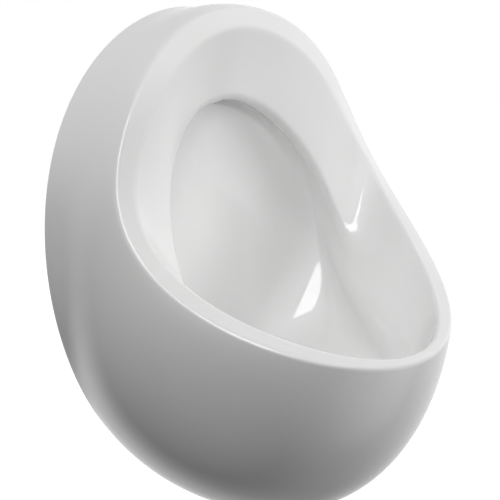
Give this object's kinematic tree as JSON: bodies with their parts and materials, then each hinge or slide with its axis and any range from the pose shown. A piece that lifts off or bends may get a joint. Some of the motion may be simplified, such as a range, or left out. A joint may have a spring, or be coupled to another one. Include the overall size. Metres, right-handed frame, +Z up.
{
  "type": "wall hung urinal",
  "caption": "Egg-shaped wall hung urinal in white glazed ceramic, with hidden hangers, flush spreader, concealed trap and a lift-out drain insert.",
  "frame": {"origin": "on the wall plane, midway between the two hanger screws", "axes": "+Y into the wall, +Z up, +X to the right seen from the front; the bowl opens towards -Y"},
  "size_m": [0.3816, 0.3892, 0.5282],
  "materials": {
    "ceramic": "gloss white glaze over vitreous china, bare at the wall flange and inside the hollow",
    "galvanised": "zinc plated steel",
    "pad": "natural white nylon",
    "screws": "bright zinc plated",
    "washers": "bright zinc plated",
    "stainless": "stainless steel, satin",
    "rubber": "black rubber",
    "chrome": "polished chrome plate",
    "trap_plastic": "white polypropylene, moulded",
    "pipe_plastic": "grey polypropylene pipe",
    "insert_plastic": "pale grey moulded plastic",
    "brass": "plain brass"
  },
  "bodies": {
    "urinal": {"ceramic_body": "ceramic", "wall_hanger_right": "galvanised", "wall_hanger_left": "galvanised", "hanger_pads": "pad", "hanger_screws": "screws", "hanger_washers": "washers", "foot_bracket": "galvanised", "foot_screws": "screws", "foot_washers": "washers", "locking_washer": "pad", "locking_screw": "stainless", "locking_nut": "screws", "waste_gasket": "rubber", "trap_gasket": "rubber", "waste_ring": "chrome", "trap_housing": "trap_plastic", "outlet_pipe": "pipe_plastic", "outlet_seal": "rubber", "outlet_nut": "trap_plastic", "spreader_body": "chrome", "spreader_gasket": "rubber", "spreader_washer": "rubber", "spreader_locknut": "brass", "inlet_elbow": "chrome", "inlet_seal": "rubber", "inlet_nipple": "brass", "inlet_union_nut": "chrome"},
    "insert": {"trap_insert": "insert_plastic", "insert_ring": "rubber"},
    "strainer": {"strainer": "stainless"}
  },
  "joints": [
    {"name": "insert_lift", "type": "slide", "parent": "urinal", "child": "insert", "axis": [0, 0, 1], "range_m": [0, 0.12]},
    {"name": "strainer_lift", "type": "slide", "parent": "insert", "child": "strainer", "axis": [0, 0, 1], "range_m": [0, 0.06]}
  ]
}
